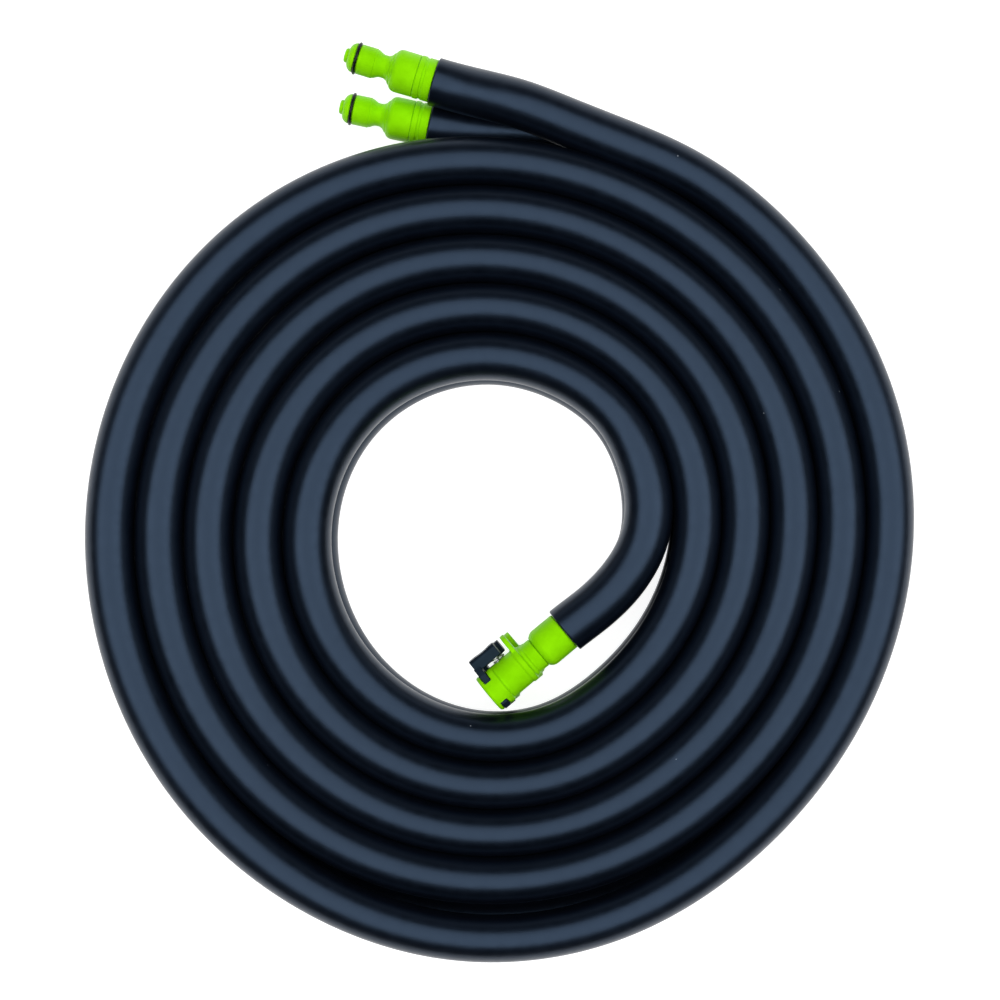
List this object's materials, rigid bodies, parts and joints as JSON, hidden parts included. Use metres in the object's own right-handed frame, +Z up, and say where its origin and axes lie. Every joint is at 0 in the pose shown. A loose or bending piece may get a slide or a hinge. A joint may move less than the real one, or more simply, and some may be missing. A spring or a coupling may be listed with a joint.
{
  "type": "insulated twin water hose",
  "caption": "Coiled foam-insulated twin water hose with latching valved sockets at one end and valved inserts at the other.",
  "frame": {"origin": "on the floor under the middle of the object's bounding box", "axes": "+Z up out of the flat coil; -Y the way both sockets face; +X across the coil, away from the two inserts"},
  "size_m": [0.4542, 0.4344, 0.0503],
  "materials": {
    "foam_insulation": "matte dark navy closed-cell foam skin with a soft sheen and fine grain",
    "water_tube": "smooth grey flexible tube",
    "green_plastic": "satin lime green injection-moulded plastic",
    "black_plastic": "satin black moulded plastic",
    "pale_plastic": "natural off-white moulded plastic",
    "seal_rubber": "black nitrile rubber, slightly glossy",
    "spring_steel": "bright drawn spring wire and pressed ring"
  },
  "bodies": {
    "hose_set": {"upper_foam_sleeve": "foam_insulation", "upper_water_tube": "water_tube", "upper_socket_body": "green_plastic", "upper_socket_nut": "green_plastic", "upper_socket_stem": "pale_plastic", "upper_socket_grip_ring": "spring_steel", "upper_insert_body": "green_plastic", "upper_insert_nut": "green_plastic", "upper_insert_stem": "pale_plastic", "upper_insert_grip_ring": "spring_steel", "upper_insert_o_ring": "seal_rubber", "lower_foam_sleeve": "foam_insulation", "lower_water_tube": "water_tube", "lower_socket_body": "green_plastic", "lower_socket_nut": "green_plastic", "lower_socket_stem": "pale_plastic", "lower_socket_grip_ring": "spring_steel", "lower_insert_body": "green_plastic", "lower_insert_nut": "green_plastic", "lower_insert_stem": "pale_plastic", "lower_insert_grip_ring": "spring_steel", "lower_insert_o_ring": "seal_rubber"},
    "upper_latch_button": {"upper_latch": "black_plastic", "upper_latch_spring": "spring_steel"},
    "upper_socket_poppet": {"upper_socket_valve": "black_plastic", "upper_socket_valve_seal": "seal_rubber", "upper_socket_valve_spring": "spring_steel"},
    "upper_insert_poppet": {"upper_insert_valve": "green_plastic", "upper_insert_valve_spring": "spring_steel"},
    "lower_latch_button": {"lower_latch": "black_plastic", "lower_latch_spring": "spring_steel"},
    "lower_socket_poppet": {"lower_socket_valve": "black_plastic", "lower_socket_valve_seal": "seal_rubber", "lower_socket_valve_spring": "spring_steel"},
    "lower_insert_poppet": {"lower_insert_valve": "green_plastic", "lower_insert_valve_spring": "spring_steel"}
  },
  "joints": [
    {"name": "upper_latch_press", "type": "slide", "parent": "hose_set", "child": "upper_latch_button", "axis": [1, 0, 0], "range_m": [0, 0.0022], "stiffness_N_per_m": 1200, "springref_m": -0.003, "deforming": ["upper_latch_spring"]},
    {"name": "upper_socket_valve_slide", "type": "slide", "parent": "hose_set", "child": "upper_socket_poppet", "axis": [0, 1, 0], "range_m": [0, 0.004], "stiffness_N_per_m": 800, "springref_m": -0.003, "deforming": ["upper_socket_valve_spring"]},
    {"name": "upper_insert_valve_slide", "type": "slide", "parent": "hose_set", "child": "upper_insert_poppet", "axis": [0.8329, 0.5534, 0], "range_m": [0, 0.0032], "stiffness_N_per_m": 800, "springref_m": -0.003, "deforming": ["upper_insert_valve_spring"]},
    {"name": "lower_latch_press", "type": "slide", "parent": "hose_set", "child": "lower_latch_button", "axis": [1, 0, 0], "range_m": [0, 0.0022], "stiffness_N_per_m": 1200, "springref_m": -0.003, "deforming": ["lower_latch_spring"]},
    {"name": "lower_socket_valve_slide", "type": "slide", "parent": "hose_set", "child": "lower_socket_poppet", "axis": [0, 1, 0], "range_m": [0, 0.004], "stiffness_N_per_m": 800, "springref_m": -0.003, "deforming": ["lower_socket_valve_spring"]},
    {"name": "lower_insert_valve_slide", "type": "slide", "parent": "hose_set", "child": "lower_insert_poppet", "axis": [0.7848, 0.6198, 0], "range_m": [0, 0.0032], "stiffness_N_per_m": 800, "springref_m": -0.003, "deforming": ["lower_insert_valve_spring"]}
  ]
}
